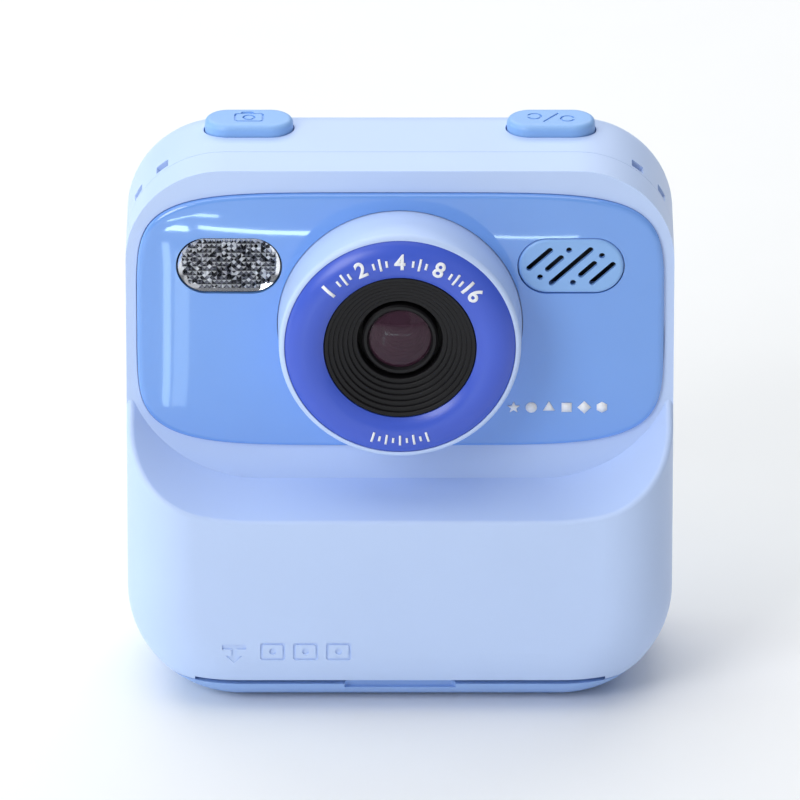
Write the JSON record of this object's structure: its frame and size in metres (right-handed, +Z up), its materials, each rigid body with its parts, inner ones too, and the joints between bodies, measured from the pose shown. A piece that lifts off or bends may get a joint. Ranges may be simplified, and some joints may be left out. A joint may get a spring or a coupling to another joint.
{
  "type": "kids instant print camera",
  "caption": "Children's digital camera with a built-in thermal printer, a paper door underneath, top buttons and rear keys.",
  "frame": {"origin": "on the surface it stands on, under the middle of the bounding box", "axes": "+Z up, -Y the way the lens looks, +X to the right seen from the front"},
  "size_m": [0.096, 0.045, 0.1005],
  "materials": {
    "shell": "fine matte moulded plastic",
    "panel": "high gloss moulded plastic",
    "bezel": "satin gloss royal blue",
    "accent": "matte mid blue",
    "door": "matte blue",
    "black_plastic": "fine matte black",
    "lens_glass": "coated glass with a dark purple tint",
    "clear_plastic": "clear moulded prisms",
    "window": "black tinted acrylic",
    "screw_steel": "zinc plated",
    "mirror_plate": "vacuum metallised",
    "circuit_board": "green solder mask",
    "chip_plastic": "black moulding compound",
    "speaker_metal": "pressed steel",
    "port_steel": "plated steel",
    "battery_wrap": "foil pouch",
    "display": "display behind the window",
    "switch_steel": "pressed domes",
    "frame_plastic": "glass-filled plastic",
    "ceramic": "thermal head substrate",
    "heatsink": "extruded",
    "spring_steel": "spring wire",
    "blade_steel": "stamped blade",
    "motor_can": "drawn can",
    "shaft_steel": "ground steel",
    "cover_rubber": "soft matte flap",
    "platen_rubber": "ground black rubber",
    "gear_plastic": "white acetal",
    "bearing_plastic": "white acetal",
    "gear_brass": "cut brass",
    "paper": "thermal paper",
    "core_card": "card core"
  },
  "bodies": {
    "case": {"front_shell": "shell", "rear_shell": "shell", "front_panel": "panel", "lens_barrel": "shell", "lens_bezel": "bezel", "lens_baffle": "black_plastic", "lens_retainer": "black_plastic", "lens_cover_glass": "lens_glass", "flash_lens": "clear_plastic", "speaker_grille": "accent", "display_window": "window", "case_screws": "screw_steel", "flash_reflector": "mirror_plate", "flash_board": "circuit_board", "speaker": "speaker_metal", "camera_module": "black_plastic", "sensor_board": "circuit_board", "main_board": "circuit_board", "board_chips": "chip_plastic", "board_screws": "screw_steel", "usb_port": "port_steel", "card_slot": "port_steel", "battery": "battery_wrap", "display_module": "display", "key_board": "circuit_board", "key_switches": "switch_steel", "top_button_boards": "circuit_board", "top_switches": "chip_plastic", "printer_frame": "frame_plastic", "thermal_head": "ceramic", "head_heatsink": "heatsink", "head_springs": "spring_steel", "cutter_blade": "blade_steel", "feed_motor": "motor_can", "idler_axle": "shaft_steel", "hinge_pin": "shaft_steel"},
    "shutter_button_body": {"shutter_button": "accent"},
    "mode_button_body": {"mode_button": "accent"},
    "up_key_body": {"up_key": "accent"},
    "down_key_body": {"down_key": "accent"},
    "left_key_body": {"left_key": "accent"},
    "right_key_body": {"right_key": "accent"},
    "ok_key_body": {"ok_key": "accent"},
    "play_key_body": {"play_key": "accent"},
    "menu_key_body": {"menu_key": "accent"},
    "port_cover_body": {"port_cover": "cover_rubber"},
    "door": {"paper_door": "door", "platen_bearings": "bearing_plastic"},
    "platen": {"platen_shaft": "shaft_steel", "platen_rubber": "platen_rubber", "platen_gear": "gear_plastic"},
    "idler": {"idler_gear": "gear_plastic"},
    "pinion": {"motor_pinion": "gear_brass"},
    "roll": {"paper_roll": "paper", "roll_core": "core_card"}
  },
  "joints": [
    {"name": "shutter_button_press", "type": "slide", "parent": "case", "child": "shutter_button_body", "axis": [0, 0, -1], "range_m": [0, 0.0008], "stiffness_N_per_m": 1500, "springref_m": -0.0006},
    {"name": "mode_button_press", "type": "slide", "parent": "case", "child": "mode_button_body", "axis": [0, 0, -1], "range_m": [0, 0.0008], "stiffness_N_per_m": 1500, "springref_m": -0.0006},
    {"name": "up_key_press", "type": "slide", "parent": "case", "child": "up_key_body", "axis": [0, -1, 0], "range_m": [0, 0.0006], "stiffness_N_per_m": 1500, "springref_m": -0.0004},
    {"name": "down_key_press", "type": "slide", "parent": "case", "child": "down_key_body", "axis": [0, -1, 0], "range_m": [0, 0.0006], "stiffness_N_per_m": 1500, "springref_m": -0.0004},
    {"name": "left_key_press", "type": "slide", "parent": "case", "child": "left_key_body", "axis": [0, -1, 0], "range_m": [0, 0.0006], "stiffness_N_per_m": 1500, "springref_m": -0.0004},
    {"name": "right_key_press", "type": "slide", "parent": "case", "child": "right_key_body", "axis": [0, -1, 0], "range_m": [0, 0.0006], "stiffness_N_per_m": 1500, "springref_m": -0.0004},
    {"name": "ok_key_press", "type": "slide", "parent": "case", "child": "ok_key_body", "axis": [0, -1, 0], "range_m": [0, 0.0006], "stiffness_N_per_m": 1500, "springref_m": -0.0004},
    {"name": "play_key_press", "type": "slide", "parent": "case", "child": "play_key_body", "axis": [0, -1, 0], "range_m": [0, 0.0006], "stiffness_N_per_m": 1500, "springref_m": -0.0004},
    {"name": "menu_key_press", "type": "slide", "parent": "case", "child": "menu_key_body", "axis": [0, -1, 0], "range_m": [0, 0.0006], "stiffness_N_per_m": 1500, "springref_m": -0.0004},
    {"name": "port_cover_hinge", "type": "hinge", "parent": "case", "child": "port_cover_body", "pos_m": [0.0473, 0.007, 0.04995], "axis": [0, 1, 0], "range_deg": [0, 90]},
    {"name": "door_hinge", "type": "hinge", "parent": "case", "child": "door", "pos_m": [0, 0.015, 0.003], "axis": [1, 0, 0], "range_deg": [0, 90]},
    {"name": "platen_spin", "type": "hinge", "parent": "door", "child": "platen", "pos_m": [0, -0.013, 0.0075], "axis": [1, 0, 0], "continuous": true},
    {"name": "idler_spin", "type": "hinge", "parent": "case", "child": "idler", "pos_m": [0.032, -0.01144, 0.01636], "axis": [1, 0, 0], "continuous": true},
    {"name": "pinion_spin", "type": "hinge", "parent": "case", "child": "pinion", "pos_m": [0.034, -0.00493, 0.02183], "axis": [1, 0, 0], "continuous": true},
    {"name": "roll_spin", "type": "hinge", "parent": "case", "child": "roll", "pos_m": [0, 0.004, 0.0205], "axis": [1, 0, 0], "continuous": true}
  ],
  "couplings": [
    {"joint": "idler_spin", "follows": "platen_spin", "ratio": -0.5},
    {"joint": "pinion_spin", "follows": "platen_spin", "ratio": 1.2},
    {"joint": "roll_spin", "follows": "platen_spin", "ratio": 0.34783}
  ]
}
